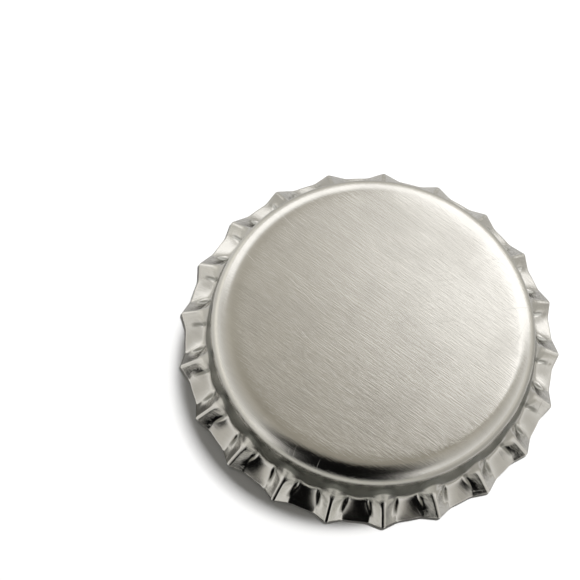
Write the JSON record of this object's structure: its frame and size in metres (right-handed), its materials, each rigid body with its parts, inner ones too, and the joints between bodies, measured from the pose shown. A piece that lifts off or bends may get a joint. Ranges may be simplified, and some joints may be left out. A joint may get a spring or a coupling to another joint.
{
  "type": "crown bottle cap",
  "caption": "Bottle cap pressed from thin bright tinplate, with a gently domed panel, a rounded shoulder and a skirt of radial ridges.",
  "frame": {"origin": "on the axis of the cap, in the plane of the rim that it rests on", "axes": "+Z along the axis, from the rim up through the middle of the panel; +X through the crest of a ridge"},
  "size_m": [0.0319, 0.032, 0.006],
  "materials": {
    "tinplate": "bright rolled tinplate, bare inside and out"
  },
  "bodies": {
    "root": {"cap_shell": "tinplate"}
  },
  "joints": []
}
